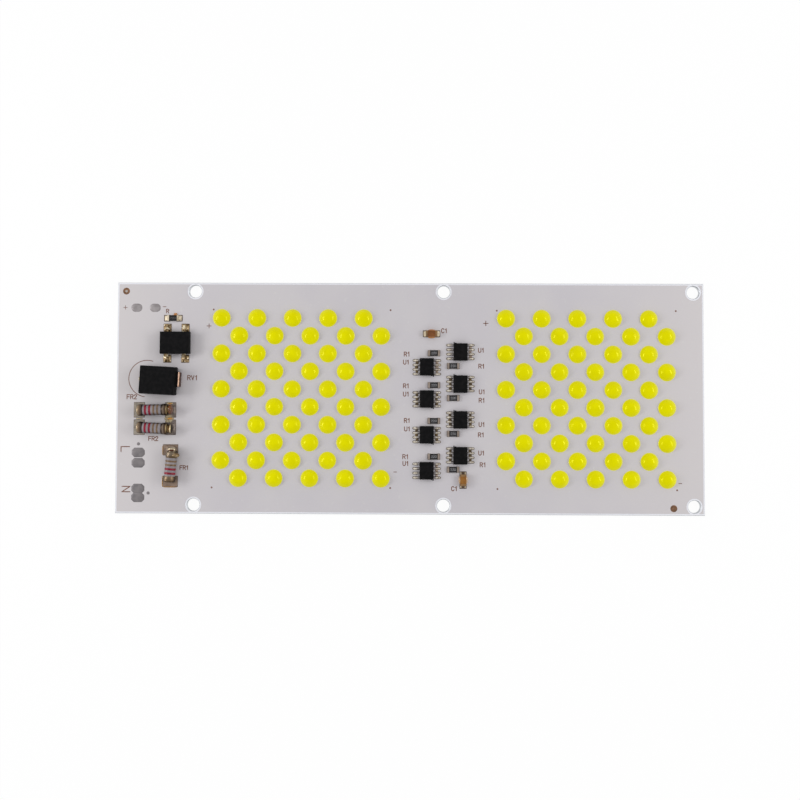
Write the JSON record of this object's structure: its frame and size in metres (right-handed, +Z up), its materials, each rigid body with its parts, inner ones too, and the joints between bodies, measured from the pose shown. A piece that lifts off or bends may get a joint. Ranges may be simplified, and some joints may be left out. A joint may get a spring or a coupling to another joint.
{
  "type": "led board",
  "caption": "Flat rectangular aluminium-core LED board with two staggered fields of yellow phosphor domes, surface-mounted driver chips and mains parts, and screw holes along both long edges.",
  "frame": {"origin": "middle of the board's bare back face, which lies on the surface or heat sink that carries it", "axes": "+X runs along the board from the mains parts to the far end, +Y across it, +Z up out of the lit face"},
  "size_m": [0.165, 0.065, 0.0054],
  "materials": {
    "aluminium": "rolled sheet with a bright sheared and scored edge",
    "dielectric": "ceramic-filled epoxy, matt and pale",
    "copper": "copper foil, dulled brown where it is bare",
    "white_mask": "white solder mask with a soft satin face",
    "tin": "tin and solder, grey and lightly dulled",
    "phosphor": "yellow phosphor in clear silicone, smooth and softly glossy",
    "led_die": "sapphire die",
    "epoxy": "black moulding epoxy, fine satin",
    "resistor_ceramic": "white alumina under a black glazed coat",
    "capacitor_ceramic": "brown sintered ceramic",
    "copper_strap": "copper strap with thin tin",
    "rod_coat": "grey lacquer with painted colour bands",
    "tin_cap": "pressed steel cap with browned tin"
  },
  "bodies": {
    "root": {"aluminium_core": "aluminium", "dielectric_layer": "dielectric", "copper_circuit": "copper", "white_solder_mask": "white_mask", "tinned_lands": "tin", "left_led_string_1_domes": "phosphor", "left_led_string_2_domes": "phosphor", "left_led_string_3_domes": "phosphor", "left_led_string_4_domes": "phosphor", "left_led_string_5_domes": "phosphor", "right_led_string_1_domes": "phosphor", "right_led_string_2_domes": "phosphor", "right_led_string_3_domes": "phosphor", "right_led_string_4_domes": "phosphor", "right_led_string_5_domes": "phosphor", "left_led_dies": "led_die", "right_led_dies": "led_die", "driver_chip_1": "epoxy", "driver_chip_2": "epoxy", "driver_chip_3": "epoxy", "driver_chip_4": "epoxy", "driver_chip_5": "epoxy", "driver_chip_6": "epoxy", "driver_chip_7": "epoxy", "driver_chip_8": "epoxy", "driver_chip_1_leads": "tin", "driver_chip_2_leads": "tin", "driver_chip_3_leads": "tin", "driver_chip_4_leads": "tin", "driver_chip_5_leads": "tin", "driver_chip_6_leads": "tin", "driver_chip_7_leads": "tin", "driver_chip_8_leads": "tin", "sense_resistor_1": "resistor_ceramic", "sense_resistor_2": "resistor_ceramic", "sense_resistor_3": "resistor_ceramic", "sense_resistor_4": "resistor_ceramic", "sense_resistor_5": "resistor_ceramic", "sense_resistor_6": "resistor_ceramic", "sense_resistor_7": "resistor_ceramic", "sense_resistor_8": "resistor_ceramic", "left_sense_ends": "tin", "right_sense_ends": "tin", "bridge_rectifier": "epoxy", "bridge_leads": "tin", "varistor": "epoxy", "varistor_straps": "copper_strap", "fusible_resistor_1": "rod_coat", "fusible_resistor_2": "rod_coat", "fusible_resistor_3": "rod_coat", "fusible_resistor_1_caps": "tin_cap", "fusible_resistor_2_caps": "tin_cap", "fusible_resistor_3_caps": "tin_cap", "bleed_resistor": "resistor_ceramic", "bleed_ends": "tin", "upper_capacitor": "capacitor_ceramic", "lower_capacitor": "capacitor_ceramic", "capacitor_ends": "tin"}
  },
  "joints": []
}
